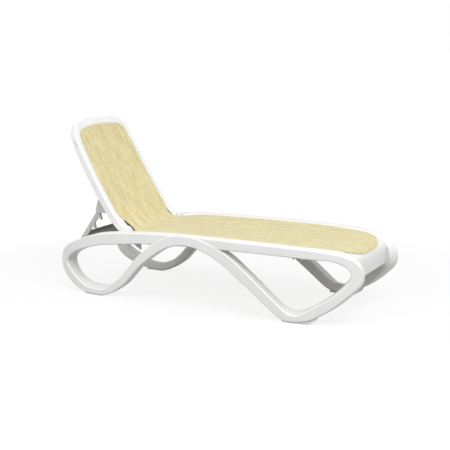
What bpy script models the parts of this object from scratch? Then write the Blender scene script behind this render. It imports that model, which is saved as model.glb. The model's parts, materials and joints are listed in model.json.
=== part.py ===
"""Resin sun lounger with a sling seat, ribbon side frames and a toothed prop.

Metres, +Z up. X runs along the lounger with the feet toward +X, Y across it,
and the floor is Z = 0. The backrest stands at its steepest notch.
"""
import math

import bmesh
import bpy
import numpy as np

for old in list(bpy.data.objects):
    bpy.data.objects.remove(old, do_unlink=True)

# Driving sizes
HALF_RUN = 0.933            # half the side frame's length, measured along its bend
WIDTH = 0.715               # across the outer faces of the side frames
RAIL_TOP = 0.390            # top of the rails at mid length
RIBBON_WIDTH = 0.062        # the ribbon's face
RIBBON_DEPTH = 0.070        # the ribbon's depth across the lounger
RIBBON_EDGE = 0.008         # rounding along the ribbon's four edges
HUMP_STEP = 0.004           # the arch stands this proud of the rail it crosses
HUMP_RELIEF = 0.003         # and is this much shallower inside
SEAM_INSET = 0.0004         # the arch is this much smaller than the loop where they run together
FRONT_BEND_SHARE = 0.5284   # of HALF_RUN: the side frames run straight up to here
FRONT_BEND_START = FRONT_BEND_SHARE * HALF_RUN
FRONT_BEND_RADIUS = 1.05
REAR_BEND_SHARE = 0.6935
REAR_BEND_START = REAR_BEND_SHARE * HALF_RUN
REAR_BEND_RADIUS = 0.55
GAP = 0.0003                # between pieces that touch

# Backrest sizes
RECLINE_AT_REST = math.radians(57)
HINGE_SHARE = -0.5005       # of HALF_RUN
HINGE_X = HINGE_SHARE * HALF_RUN
HINGE_DROP = 0.032          # below the top of the rails
HINGE_Z = RAIL_TOP - HINGE_DROP
BACK_LENGTH = 0.698         # hinge to the middle of the top bar
BACK_CLEARANCE = 0.0075     # between the backrest and the side frames
BACK_HALF_WIDTH = WIDTH / 2 - RIBBON_DEPTH - BACK_CLEARANCE
STILE_FACE = 0.046
STILE_DEPTH = 0.045
BACK_CORNER_RADIUS = 0.095
BACK_CROWN = 0.028          # the top bar's middle stands this much above its ends
BACK_SLING_START = 0.118    # along the back, where its sling passes into the hip's
HINGE_BOSS_RADIUS = 0.043
HINGE_BOSS_WIDTH = 0.034
FRAME_EDGE = 0.010          # rounding along the backrest frame's edges

# Prop sizes
PROP_ALONG = 0.2038         # the prop's pins, along the back's chord
PROP_BEHIND = 0.1228        # and behind it
PROP_ANGLE = math.radians(234.8)
PROP_INSET = 0.050          # the arms' outer faces, inside the stiles' outer ones
PROP_ARM_OUTER = BACK_HALF_WIDTH - PROP_INSET
PROP_ARM_THICKNESS = 0.013

# Path of the loops and rail from rear foot to front foot. Each point has its
# place along the frame as a share of HALF_RUN, its height as a share of
# RAIL_TOP and the ribbon's width as a share of RIBBON_WIDTH.
LOOP_SHARES = [
    (-0.629, 0.054, 0.55), (-0.672, 0.053, 0.55), (-0.718, 0.058, 0.58),
    (-0.768, 0.077, 0.65), (-0.821, 0.129, 0.81), (-0.876, 0.194, 0.94),
    (-0.922, 0.267, 1.03), (-0.952, 0.344, 1.10), (-0.964, 0.426, 1.13),
    (-0.952, 0.503, 1.10), (-0.921, 0.576, 1.02), (-0.876, 0.641, 0.97),
    (-0.822, 0.697, 0.95), (-0.766, 0.746, 0.97), (-0.704, 0.792, 1.02),
    (-0.629, 0.832, 1.03), (-0.504, 0.867, 1.05), (-0.350, 0.903, 0.97),
    (-0.136, 0.923, 0.94), (0.132, 0.932, 0.87), (0.400, 0.933, 0.81),
    (0.593, 0.929, 0.80), (0.721, 0.920, 0.79), (0.808, 0.911, 0.73),
    (0.872, 0.884, 0.86), (0.920, 0.833, 0.97), (0.951, 0.757, 1.07),
    (0.959, 0.673, 1.12), (0.953, 0.589, 1.10), (0.923, 0.503, 1.00),
    (0.876, 0.397, 0.94), (0.821, 0.296, 0.92), (0.742, 0.180, 0.90),
    (0.686, 0.106, 0.77), (0.646, 0.073, 0.61), (0.609, 0.062, 0.58),
    (0.568, 0.072, 0.71),
]
# Path of the arch from front foot over the rail to rear foot, in the same shares
ARCH_SHARES = [
    (0.614, 0.062, 0.58), (0.568, 0.072, 0.71), (0.523, 0.132, 0.87),
    (0.468, 0.235, 0.90), (0.411, 0.344, 0.92), (0.350, 0.460, 0.97),
    (0.284, 0.578, 1.03), (0.226, 0.685, 1.03), (0.166, 0.774, 1.00),
    (0.100, 0.850, 0.97), (0.018, 0.915, 0.92), (-0.068, 0.933, 0.89),
    (-0.139, 0.914, 0.92), (-0.218, 0.843, 0.94), (-0.297, 0.718, 0.89),
    (-0.373, 0.572, 0.81), (-0.416, 0.459, 0.77), (-0.481, 0.286, 0.77),
    (-0.516, 0.213, 0.74), (-0.553, 0.151, 0.71), (-0.591, 0.095, 0.65),
    (-0.625, 0.063, 0.56), (-0.672, 0.053, 0.55),
]
LOOP_STATIONS = 72
ARCH_STATIONS = 48
HUMP_CENTRE_SHARE = -0.07   # where the arch crosses the rail
HUMP_REACH_SHARE = 0.24     # half the length over which the rail is recessed
FOOT_LIFT_SHARE = 0.45      # the feet's upper side leans out by this share of the ribbon


def make_material(name, colour, roughness, metallic=0.0):
    material = bpy.data.materials.new(name)
    material.use_nodes = True
    shader = material.node_tree.nodes["Principled BSDF"]
    shader.inputs["Base Color"].default_value = (*colour, 1.0)
    shader.inputs["Roughness"].default_value = roughness
    shader.inputs["Metallic"].default_value = metallic
    material.diffuse_color = (*colour, 1.0)
    return material


WHITE_RESIN = make_material("white_resin", (0.86, 0.86, 0.85), 0.45)
GREY_RESIN = make_material("grey_resin", (0.42, 0.43, 0.42), 0.5)
DARK_RESIN = make_material("dark_resin", (0.16, 0.16, 0.155), 0.5)
PAD_RUBBER = make_material("pad_rubber", (0.38, 0.40, 0.39), 0.8)
SLING_FABRIC = make_material("sling_fabric", (0.78, 0.72, 0.42), 0.85)
BORDER_RESIN = make_material("border_resin", (0.85, 0.84, 0.74), 0.6)
PIN_STEEL = make_material("pin_steel", (0.55, 0.56, 0.57), 0.35, 1.0)


# Shape helpers
def finish_object(name, verts, faces, material, parent=None):
    """One closed mesh, faces out, with smooth shading between its sharp edges."""
    mesh = bpy.data.meshes.new(name)
    mesh.from_pydata([tuple(map(float, v)) for v in verts], [], faces)
    tidy = bmesh.new()
    tidy.from_mesh(mesh)
    bmesh.ops.recalc_face_normals(tidy, faces=tidy.faces)
    tidy.to_mesh(mesh)
    tidy.free()
    obj = bpy.data.objects.new(name, mesh)
    bpy.context.scene.collection.objects.link(obj)
    mesh.materials.append(material)
    mesh.shade_smooth()
    mesh.set_sharp_from_angle(angle=math.radians(32))
    if parent is not None:
        obj.parent = parent
        obj.matrix_parent_inverse = parent.matrix_world.inverted()
    return obj


def loft(name, rings, material, parent=None):
    """A closed body through rings of equal count, with flat ends."""
    count = len(rings[0])
    verts = [point for ring in rings for point in ring]
    faces = []
    for i in range(len(rings) - 1):
        for j in range(count):
            k = (j + 1) % count
            faces.append((i * count + j, i * count + k, (i + 1) * count + k, (i + 1) * count + j))
    faces.append(tuple(range(count)))
    faces.append(tuple((len(rings) - 1) * count + j for j in range(count)))
    return finish_object(name, verts, faces, material, parent)


def plate(name, outline, y_low, y_high, material, parent=None):
    """An outline of (x, z) points as a plate that stands across Y."""
    rings = [[(x, y, z) for x, z in outline] for y in (y_low, y_high)]
    return loft(name, rings, material, parent)


def circle(x, z, radius, sides=24):
    turns = [2 * math.pi * i / sides for i in range(sides)]
    return [(x + radius * math.cos(t), z + radius * math.sin(t)) for t in turns]


def eight_corners(half, deep, edge):
    """A bar's section: half its width by half its depth, with its corners cut off."""
    return [
        (-half, -deep + edge), (-half + edge, -deep), (half - edge, -deep), (half, -deep + edge),
        (half, deep - edge), (half - edge, deep), (-half + edge, deep), (-half, deep - edge),
    ]


def rod(name, x, z, steps, material, parent=None, sides=24):
    """A turned piece along Y: steps are (y, radius) from one end to the other."""
    rings = [[(px, y, pz) for px, pz in circle(x, z, radius, sides)] for y, radius in steps]
    return loft(name, rings, material, parent)


def combine(target, tool, operation):
    """Adds or cuts one mesh with another and keeps only the result."""
    step = target.modifiers.new(operation.lower(), "BOOLEAN")
    step.operation = operation
    step.object = tool
    bpy.context.view_layer.update()
    shape = target.evaluated_get(bpy.context.evaluated_depsgraph_get())
    result = bpy.data.meshes.new_from_object(shape)
    target.modifiers.clear()
    target.data = result
    bpy.data.objects.remove(tool, do_unlink=True)
    result.shade_smooth()
    result.set_sharp_from_angle(angle=math.radians(32))
    return target


def smooth_path(points, count):
    """Evenly spaced points on a smooth curve through the given ones."""
    pts = np.array(points, float)
    padded = np.vstack([2 * pts[0] - pts[1], pts, 2 * pts[-1] - pts[-2]])
    fine = []
    for i in range(1, len(padded) - 2):
        p0, p1, p2, p3 = padded[i - 1:i + 3]
        for t in np.linspace(0, 1, 16, endpoint=False):
            bend = 2 * p0 - 5 * p1 + 4 * p2 - p3
            twist = -p0 + 3 * p1 - 3 * p2 + p3
            fine.append(0.5 * (2 * p1 + (p2 - p0) * t + bend * t ** 2 + twist * t ** 3))
    fine.append(pts[-1])
    fine = np.array(fine)
    steps = np.linalg.norm(np.diff(fine[:, :2], axis=0), axis=1)
    run = np.concatenate([[0], np.cumsum(steps)])
    wanted = np.linspace(0, run[-1], count)
    return np.stack([np.interp(wanted, run, fine[:, k]) for k in range(fine.shape[1])], 1)


def tangents(path):
    direction = np.gradient(path[:, :2], axis=0)
    return direction / np.linalg.norm(direction, axis=1)[:, None]


# The side frame's bend in plan
def plan_point(run, depth, side):
    """Where a point of the side frame lies in plan: side is 1 left, -1 right."""
    end = 1 if run >= 0 else -1
    start = FRONT_BEND_START if end > 0 else REAR_BEND_START
    radius = FRONT_BEND_RADIUS if end > 0 else REAR_BEND_RADIUS
    turn = max(abs(run) - start, 0) / radius
    straight = min(abs(run), start)
    x = end * (straight + (radius - depth) * math.sin(turn))
    y = WIDTH / 2 - radius + (radius - depth) * math.cos(turn)
    return x, side * y


def inner_half_width(x, depth=RIBBON_DEPTH):
    """Half the free width between the side frames at a place along them."""
    start = FRONT_BEND_START if x >= 0 else REAR_BEND_START
    radius = FRONT_BEND_RADIUS if x >= 0 else REAR_BEND_RADIUS
    reach = max(abs(x) - start, 0)
    return WIDTH / 2 - radius + math.sqrt((radius - depth) ** 2 - reach ** 2)


def run_at(x):
    """Distance along the bend of the inner face at a place x."""
    reach = abs(x) - FRONT_BEND_START
    if reach <= 0:
        return x
    return FRONT_BEND_START + FRONT_BEND_RADIUS * math.asin(reach / (FRONT_BEND_RADIUS - RIBBON_DEPTH))


# Side frames
def ribbon_path(shares, count):
    sizes = np.array([HALF_RUN, RAIL_TOP, RIBBON_WIDTH])
    return smooth_path(np.array(shares) * sizes, count)


def ribbon_rings(path, side, arch):
    """Eight-cornered sections of the ribbon, square to its path."""
    rings = []
    directions = tangents(path)
    hump_centre = HUMP_CENTRE_SHARE * HALF_RUN
    hump_reach = HUMP_REACH_SHARE * HALF_RUN
    for (run, height, width), (along, up) in zip(path, directions):
        near = max(0.0, 1 - abs(run - hump_centre) / hump_reach) if height > RAIL_TOP / 2 else 0.0
        blend = min(1.0, 3 * near)
        outer = 0.0 if arch else HUMP_STEP * blend
        inner = RIBBON_DEPTH - (HUMP_RELIEF * blend if arch else 0.0)
        half = width / 2
        if arch:
            outer += SEAM_INSET
            inner -= SEAM_INSET
            half -= SEAM_INSET
        low = max(0.0, 1 - height / RIBBON_WIDTH)
        lift = FOOT_LIFT_SHARE * RIBBON_WIDTH * low
        edge = RIBBON_EDGE
        section = [
            (-half + edge, outer), (half - edge, outer), (half, outer + edge),
            (half + lift, inner - edge), (half + lift - edge, inner), (-half + edge, inner),
            (-half, inner - edge), (-half, outer + edge),
        ]
        ring = []
        for across, depth in section:
            place = run + across * up
            x, y = plan_point(place, depth, side)
            ring.append((x, y, height - across * along))
        rings.append(ring)
    return rings


LOOP_PATH = ribbon_path(LOOP_SHARES, LOOP_STATIONS)
ARCH_PATH = ribbon_path(ARCH_SHARES, ARCH_STATIONS)


def underside(path):
    """(run, height) of a ribbon's lower edge where it nears the floor, in order."""
    directions = tangents(path)
    low = path[:, 1] < RAIL_TOP / 3
    runs = path[low, 0] - path[low, 2] / 2 * directions[low, 1]
    heights = path[low, 1] - path[low, 2] / 2 * np.abs(directions[low, 0])
    order = np.argsort(runs)
    return runs[order], heights[order]


PIN_RADIUS = 0.008
PIN_BORE = PIN_RADIUS + GAP
PIN_IN_FRAME = 0.040        # how far the hinge pin reaches into the side frame
PEG_RADIUS = 0.008
PEG_IN_FRAME = 0.025


def make_side_frame(name, side):
    frame = loft(name, ribbon_rings(LOOP_PATH, side, False), WHITE_RESIN)
    arch = loft("arch", ribbon_rings(ARCH_PATH, side, True), WHITE_RESIN)
    combine(frame, arch, "UNION")
    inner = WIDTH / 2 - RIBBON_DEPTH
    bore_end = side * (inner + PIN_IN_FRAME + GAP)
    bore_start = side * (inner - RIBBON_EDGE)
    bore = rod("bore", HINGE_X, HINGE_Z, [(bore_start, PIN_BORE), (bore_end, PIN_BORE)], WHITE_RESIN)
    combine(frame, bore, "DIFFERENCE")
    return frame


SIDES = {"left": 1, "right": -1}
for label, side in SIDES.items():
    make_side_frame("side_frame_" + label, side)

# Seat surface: height of the sling's top along the seat, in real heights
HIP_CLEARANCE = 0.012       # between the hinge bosses and the seat's rear end
SEAT_REAR = HINGE_X + HINGE_BOSS_RADIUS + HIP_CLEARANCE
SEAT_FRONT_SHARE = 0.908    # of HALF_RUN
SEAT_FRONT = SEAT_FRONT_SHARE * HALF_RUN
SEAT_SHARES = [             # (place as a share of HALF_RUN, height as a share of RAIL_TOP)
    (-0.442, 0.938), (-0.383, 0.959), (-0.297, 0.974), (-0.136, 0.987),
    (0.078, 0.991), (0.346, 0.990), (0.507, 0.984), (0.614, 0.976), (0.713, 0.965),
    (0.764, 0.958), (0.811, 0.949), (0.852, 0.932), (0.880, 0.907), (0.900, 0.878),
    (0.914, 0.845), (0.921, 0.800), (0.9225, 0.730), (0.9215, 0.640), (0.919, 0.572),
]
SEAT_PATH = smooth_path(np.array(SEAT_SHARES) * np.array([HALF_RUN, RAIL_TOP]), 90)
SEAT_TOP = SEAT_PATH[:np.argmax(SEAT_PATH[:, 0]) + 1]
SLING_THICKNESS = 0.0024
SEAT_SAG = 0.009
BORDER_WIDTH = 0.006
BORDER_PROUD = 0.0008
FRAME_CLEARANCE = 0.0009    # to the side frames' inner faces where they bend
LEDGE_WIDTH = 0.026
LEDGE_DEPTH = 0.030
NOSE_REAR_SHARE = 0.702     # of HALF_RUN
NOSE_REAR = NOSE_REAR_SHARE * HALF_RUN      # where the seat rails end and the nose cowl begins
NOSE_ROUND = 0.185          # length over which the sling's front end rounds off
NOSE_SQUARENESS = 3.5       # 2 rounds it as an ellipse, more as a squarer end
NOSE_ROUND_START = SEAT_FRONT - NOSE_ROUND
NOSE_TIP_SHARE = 0.7        # the cloth's last row, between the last two points of its welt
HIP_TAPER = 0.085           # length over which the cloth narrows to pass between the bosses


TAPER_PLACES = [SEAT_REAR + HIP_TAPER * i / 5 for i in range(5)]
SEAT_PLACES = TAPER_PLACES + list(np.linspace(SEAT_REAR + HIP_TAPER, NOSE_ROUND_START, 16))
NOSE_TURNS = [math.sin(math.pi / 2 * i / 9) for i in range(1, 9)]
NOSE_PLACES = [NOSE_ROUND_START + (SEAT_FRONT - NOSE_ROUND_START) * turn for turn in NOSE_TURNS]


def seat_height(x):
    """Top of the sling at a place along the seat, before the nose turns down."""
    return float(np.interp(x, SEAT_TOP[:, 0], SEAT_TOP[:, 1]))


def seat_half_width(x):
    """Half the sling's width between its borders, less at the hip and round the nose."""
    side = inner_half_width(x) - BORDER_WIDTH - 2 * GAP
    if x <= NOSE_ROUND_START:
        narrow = BACK_HALF_WIDTH - HINGE_BOSS_WIDTH - 2 * GAP
        share = max(0.0, (SEAT_REAR + HIP_TAPER - x) / HIP_TAPER)
        return side - (side - narrow) * share ** 2
    share = min((x - NOSE_ROUND_START) / (SEAT_FRONT - NOSE_ROUND_START), 1.0)
    return side * (1 - share ** NOSE_SQUARENESS) ** (1 / NOSE_SQUARENESS)


def make_seat_rail(name, side):
    """Ledge along the side frame's inner face that carries the sling's edge."""
    near = RIBBON_DEPTH + FRAME_CLEARANCE
    far = near + LEDGE_WIDTH
    chamfer = LEDGE_DEPTH / 5
    section = [
        (near, 0.0), (far - chamfer, 0.0), (far, chamfer),
        (far, LEDGE_DEPTH), (near, LEDGE_DEPTH),
    ]
    places = [x for x in SEAT_PLACES if x < NOSE_REAR - LEDGE_WIDTH] + [NOSE_REAR - 3 * GAP]
    rings = []
    for place in places:
        ring = []
        for depth, drop in section:
            x, y = plan_point(run_at(place), depth, side)
            ring.append((x, y, seat_height(x) - SLING_THICKNESS - 2 * GAP - drop))
        rings.append(ring)
    return loft(name, rings, WHITE_RESIN)


for label, side in SIDES.items():
    make_seat_rail("seat_rail_" + label, side)


# Nose cowl: the seat's rounded front edge between the side frames
COWL_WALL = 0.006
COWL_LIP = 0.010


def make_nose_cowl():
    nose = SEAT_PATH[SEAT_PATH[:, 0] > NOSE_REAR]
    start = np.array([[NOSE_REAR, seat_height(NOSE_REAR)]])
    line = np.vstack([start, nose])
    along = tangents(line)
    normal = np.stack([-along[:, 1], along[:, 0]], 1)
    skin = SLING_THICKNESS + 3 * GAP
    outer = line - normal * skin
    inner = line - normal * (skin + COWL_WALL)
    lip = outer[-1] - np.array([COWL_LIP, 0])
    lip_top = lip + np.array([0, COWL_WALL])
    profile = list(outer) + [lip, lip_top] + list(inner[::-1][1:])
    rings = []
    for side in (-1, 1):
        rings.append([(x, side * (inner_half_width(x) - FRAME_CLEARANCE), z) for x, z in profile])
    return loft("nose_cowl", rings, WHITE_RESIN)


make_nose_cowl()


# Sling seat: one stretched cloth with a shallow sag, rounded over the nose
def sling_sheet(name, stations, columns, material, parent=None):
    """A thin closed sheet: stations give (half width, place of a point across)."""
    inner = (WIDTH / 2 - RIBBON_DEPTH - LEDGE_WIDTH - BORDER_WIDTH) / (WIDTH / 2 - RIBBON_DEPTH)
    shares = [-1.0, *np.linspace(-inner, inner, columns - 2), 1.0]
    top = [[place(share, half, 0.0) for share in shares] for half, place in stations]
    low = [[place(share, half, SLING_THICKNESS) for share in shares] for half, place in stations]
    rings = [upper + under[::-1] for upper, under in zip(top, low)]
    return loft(name, rings, material, parent)


def seat_station(x):
    along = (x - SEAT_REAR) / (NOSE_REAR - SEAT_REAR)
    hang = max(0.0, 1 - (2 * min(along, 1.0) - 1) ** 4) if along < 1 else 0.0
    level = seat_height(x)

    def place(share, half, below):
        free = max(0.0, 1 - (abs(share) * half / (half - LEDGE_WIDTH)) ** 2)
        sag = SEAT_SAG * hang * free
        return x, share * half, level - sag - below

    return seat_half_width(x), place


def make_sling_seat():
    stations = [seat_station(x) for x in SEAT_PLACES + NOSE_PLACES]
    last = NOSE_PLACES[-1]
    tip = last + (SEAT_FRONT - last) * NOSE_TIP_SHARE - GAP
    stations.append((seat_half_width(last) * (1 - NOSE_TIP_SHARE), seat_station(tip)[1]))
    return sling_sheet("sling_seat", stations, 9, SLING_FABRIC)


make_sling_seat()


# The welt that frames the sling's edge, along both sides and round the nose
def make_seat_border():
    half_line = [(x, seat_half_width(x)) for x in SEAT_PLACES + NOSE_PLACES]
    line = [(x, -y) for x, y in half_line] + [(SEAT_FRONT, 0.0)] + half_line[::-1]
    pts = np.array(line)
    along = tangents(pts)
    outward = np.stack([along[:, 1], -along[:, 0]], 1)
    centre = pts + outward * (BORDER_WIDTH / 2 + GAP)
    rings = []
    half = BORDER_WIDTH / 2
    low = -SLING_THICKNESS
    section = [(-half, low), (half, low), (half, 0.0), (0.0, BORDER_PROUD), (-half, 0.0)]
    for (x, y), (out_x, out_y) in zip(centre, outward):
        ring = []
        for q, rise in section:
            place = x + q * out_x
            ring.append((place, y + q * out_y, seat_height(place) + rise))
        rings.append(ring)
    return loft("seat_border", rings, BORDER_RESIN)


make_seat_border()


# Crossbeams under the seat
BEAM_LENGTHWISE = 0.052
BEAM_HEIGHT = 0.034
BEAM_WALL = 0.005
BEAM_CHAMFER = 0.007
HIP_BEAM_AHEAD = 0.064      # of the seat's rear end
MIDDLE_BEAM_SHARE = 0.1125  # of HALF_RUN
FRONT_BEAM_SHARE = 0.6002
BEAM_PLACES = {
    "hip": SEAT_REAR + HIP_BEAM_AHEAD,
    "middle": MIDDLE_BEAM_SHARE * HALF_RUN,
    "front": FRONT_BEAM_SHARE * HALF_RUN,
}


def make_crossbeam(name, x):
    """An open channel between the side frames, its open side down."""
    back = x - BEAM_LENGTHWISE / 2
    front = x + BEAM_LENGTHWISE / 2
    ledge = min(seat_height(back), seat_height(front)) - SLING_THICKNESS - 3 * GAP - LEDGE_DEPTH
    top = ledge - GAP
    low = top - BEAM_HEIGHT
    outline = [
        (back, low), (back, top - BEAM_CHAMFER), (back + BEAM_CHAMFER, top),
        (front - BEAM_CHAMFER, top), (front, top - BEAM_CHAMFER), (front, low),
        (front - BEAM_WALL, low), (front - BEAM_WALL, top - BEAM_CHAMFER),
        (front - BEAM_CHAMFER, top - BEAM_WALL), (back + BEAM_CHAMFER, top - BEAM_WALL),
        (back + BEAM_WALL, top - BEAM_CHAMFER), (back + BEAM_WALL, low),
    ]
    rings = []
    for side in (-1, 1):
        rings.append([(px, side * (inner_half_width(px) - FRAME_CLEARANCE), pz) for px, pz in outline])
    return loft(name, rings, WHITE_RESIN)


for label, place in BEAM_PLACES.items():
    make_crossbeam("crossbeam_" + label, place)


# Gussets between the hip crossbeam and the side frames
GUSSET_THICKNESS = 0.008
GUSSET_CLEARANCE = 0.003    # to the hinge boss
GUSSET_REAR = HINGE_X + HINGE_BOSS_RADIUS + GUSSET_CLEARANCE
GUSSET_DROP = 0.060


def make_gusset(name, side):
    beam_rear = BEAM_PLACES["hip"] - BEAM_LENGTHWISE / 2 - GAP
    top = seat_height(GUSSET_REAR) - SLING_THICKNESS - LEDGE_DEPTH - 4 * GAP
    low = top - GUSSET_DROP
    mid = (top + low) / 2
    outline = [(GUSSET_REAR, top), (beam_rear, top), (beam_rear, low), (GUSSET_REAR, mid)]
    outer = side * (WIDTH / 2 - RIBBON_DEPTH - GAP)
    return plate(name, outline, outer, outer - side * GUSSET_THICKNESS, GREY_RESIN)


for label, side in SIDES.items():
    make_gusset("hip_gusset_" + label, side)


# Foot pads under the four feet
FRONT_PAD_SHARES = (0.5445, 0.7481, 0.7203)     # rear end, front end, start of the rise
REAR_PAD_SHARES = (-0.7674, -0.6431, -0.6431)   # of HALF_RUN
PAD_INSET = 0.008           # from the frame's outer and inner faces


def foot_roof(end):
    """(run, height) under the feet at one end, where loop and arch run together."""
    loop_runs, loop_heights = underside(LOOP_PATH)
    arch_runs, arch_heights = underside(ARCH_PATH)
    runs = np.sort(np.concatenate([loop_runs, arch_runs]))
    runs = runs[runs * end > 0]
    own = [
        np.interp(runs, r[r * end > 0], h[r * end > 0], left=RAIL_TOP, right=RAIL_TOP)
        for r, h in ((loop_runs, loop_heights), (arch_runs, arch_heights))
    ]
    return runs, np.minimum(*own) - GAP


def make_foot_pad(name, side, low_run, high_run, rise_run):
    """A wedge between the foot and the floor that follows the frame's underside."""
    roof_runs, roof_heights = foot_roof(1 if low_run > 0 else -1)
    inside = (roof_runs > low_run) & (roof_runs < high_run)
    runs = np.concatenate([[low_run], roof_runs[inside], [high_run]])
    roofs = np.maximum(np.interp(runs, roof_runs, roof_heights), 3 * GAP)
    rings = []
    for depth in (PAD_INSET, RIBBON_DEPTH - PAD_INSET):
        upper = []
        lower = []
        for run, roof in zip(runs, roofs):
            steep = (run - rise_run) / (high_run - rise_run) if high_run > rise_run else 0.0
            floor = (roof - 2 * GAP) * max(0.0, min(1.0, steep))
            upper.append((*plan_point(run, depth, side), roof))
            lower.append((*plan_point(run, depth, side), floor))
        rings.append(upper + lower[::-1])
    return loft(name, rings, PAD_RUBBER)


for label, side in SIDES.items():
    for place, shares in (("front", FRONT_PAD_SHARES), ("rear", REAR_PAD_SHARES)):
        runs = [share * HALF_RUN for share in shares]
        make_foot_pad("foot_pad_" + place + "_" + label, side, *runs)


# Hinge pins in the side frames, with the collar that spaces the backrest
COLLAR_RADIUS = 0.016


def make_hinge_pin(name, side):
    inner = WIDTH / 2 - RIBBON_DEPTH
    tip = inner + PIN_IN_FRAME
    inboard = BACK_HALF_WIDTH - HINGE_BOSS_WIDTH
    steps = [
        (tip, PIN_RADIUS), (inner - GAP, PIN_RADIUS), (inner - GAP, COLLAR_RADIUS),
        (BACK_HALF_WIDTH + GAP, COLLAR_RADIUS), (BACK_HALF_WIDTH + GAP, PIN_RADIUS),
        (inboard + PIN_RADIUS, PIN_RADIUS),
    ]
    return rod(name, HINGE_X, HINGE_Z, [(side * y, r) for y, r in steps], PIN_STEEL)


for label, side in SIDES.items():
    make_hinge_pin("hinge_pin_" + label, side)


# The backrest turns about the hinge pins, and the prop about its own pins
def make_axis(name, x, z, parent=None):
    axis = bpy.data.objects.new(name, None)
    bpy.context.scene.collection.objects.link(axis)
    axis.location = (x, 0, z)
    axis.empty_display_size = HINGE_BOSS_RADIUS
    bpy.context.view_layer.update()
    if parent is not None:
        axis.parent = parent
        axis.matrix_parent_inverse = parent.matrix_world.inverted()
    return axis


UP_BACK = np.array([-math.cos(RECLINE_AT_REST), math.sin(RECLINE_AT_REST)])
OUT_FRONT = np.array([math.sin(RECLINE_AT_REST), math.cos(RECLINE_AT_REST)])
BACK_BOW_SHARES = [         # (along the back, behind its chord), shares of BACK_LENGTH
    (0.0, 0.0), (0.11, -0.030), (0.225, -0.047), (0.43, -0.057), (0.593, -0.053),
    (0.741, -0.044), (0.872, -0.032), (1.0, -0.014),
]
BACK_BOW = smooth_path(np.array(BACK_BOW_SHARES) * BACK_LENGTH, 60)
BACK_TAPER_SHARES = [(0.0, 1.0), (0.47, 1.0), (0.73, 0.98), (0.87, 0.95), (1.0, 0.915)]


def back_point(along, front=0.0):
    """(x, z) of a point along the back, so far in front of the stiles' middle."""
    bow = float(np.interp(along, BACK_BOW[:, 0], BACK_BOW[:, 1]))
    spot = np.array([HINGE_X, HINGE_Z]) + along * UP_BACK + (bow + front) * OUT_FRONT
    return float(spot[0]), float(spot[1])


def back_place(along, behind):
    """(x, z) of a point along the back's chord and behind it, bow left out."""
    spot = np.array([HINGE_X, HINGE_Z]) + along * UP_BACK - behind * OUT_FRONT
    return float(spot[0]), float(spot[1])


PROP_X, PROP_Z = back_place(PROP_ALONG, PROP_BEHIND)
BACK_AXIS = make_axis("backrest_axis", HINGE_X, HINGE_Z)
PROP_AXIS = make_axis("prop_axis", PROP_X, PROP_Z, BACK_AXIS)


def back_half_width(along):
    shares = np.array(BACK_TAPER_SHARES)
    return BACK_HALF_WIDTH * float(np.interp(along / BACK_LENGTH, shares[:, 0], shares[:, 1]))


def back_line():
    """(along, across) middle line of the frame from the right stile's foot to the
    left one's, with its inward direction at each point."""
    inset = STILE_FACE / 2
    radius = BACK_CORNER_RADIUS - inset
    top = BACK_LENGTH + STILE_DEPTH / 2 - inset
    corner_along = top - BACK_CROWN - radius
    edge = back_half_width(corner_along) - inset
    centre = edge - radius
    right = [(HINGE_BOSS_RADIUS / 4, inset - BACK_HALF_WIDTH)]
    for along in np.linspace(BACK_SLING_START, corner_along, 11):
        right.append((along, inset - back_half_width(along)))
    for i in range(1, 7):
        turn = math.pi / 2 * i / 6
        across = centre + radius * math.cos(turn)
        rise = BACK_CROWN * (1 - (across / edge) ** 2)
        right.append((corner_along + radius * math.sin(turn) + rise, -across))
    middle = []
    for share in (-0.67, -0.33, 0.0, 0.33, 0.67):
        across = share * centre
        rise = BACK_CROWN * (1 - (across / edge) ** 2)
        middle.append((corner_along + radius + rise, across))
    pts = np.array(right + middle + [(along, -across) for along, across in right[::-1]])
    along_line = tangents(pts)
    return pts, np.stack([-along_line[:, 1], along_line[:, 0]], 1)


SLOT_SHARE = 0.825          # middle of the stacking slot along the back, of BACK_LENGTH
SLOT_LENGTH = 0.030
SLOT_WIDTH = 0.009
SLOT_DEPTH = 0.005          # into the stile's outer face
SLOT_BEHIND = 0.004         # behind the stile's middle


def cut_slot(frame, side):
    """A shallow slot in the stile's outer face that a stacked lounger's frame rests in."""
    middle = SLOT_SHARE * BACK_LENGTH
    half = back_half_width(middle)
    outline = []
    for i in range(12):
        turn = 2 * math.pi * i / 12
        end = math.copysign((SLOT_LENGTH - SLOT_WIDTH) / 2, math.cos(turn))
        along = middle + end + SLOT_WIDTH / 2 * math.cos(turn)
        outline.append(back_point(along, SLOT_WIDTH / 2 * math.sin(turn) - SLOT_BEHIND))
    inner = side * (half - SLOT_DEPTH)
    outer = side * (half + SLOT_DEPTH)
    combine(frame, plate("slot", outline, inner, outer, WHITE_RESIN), "DIFFERENCE")


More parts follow.
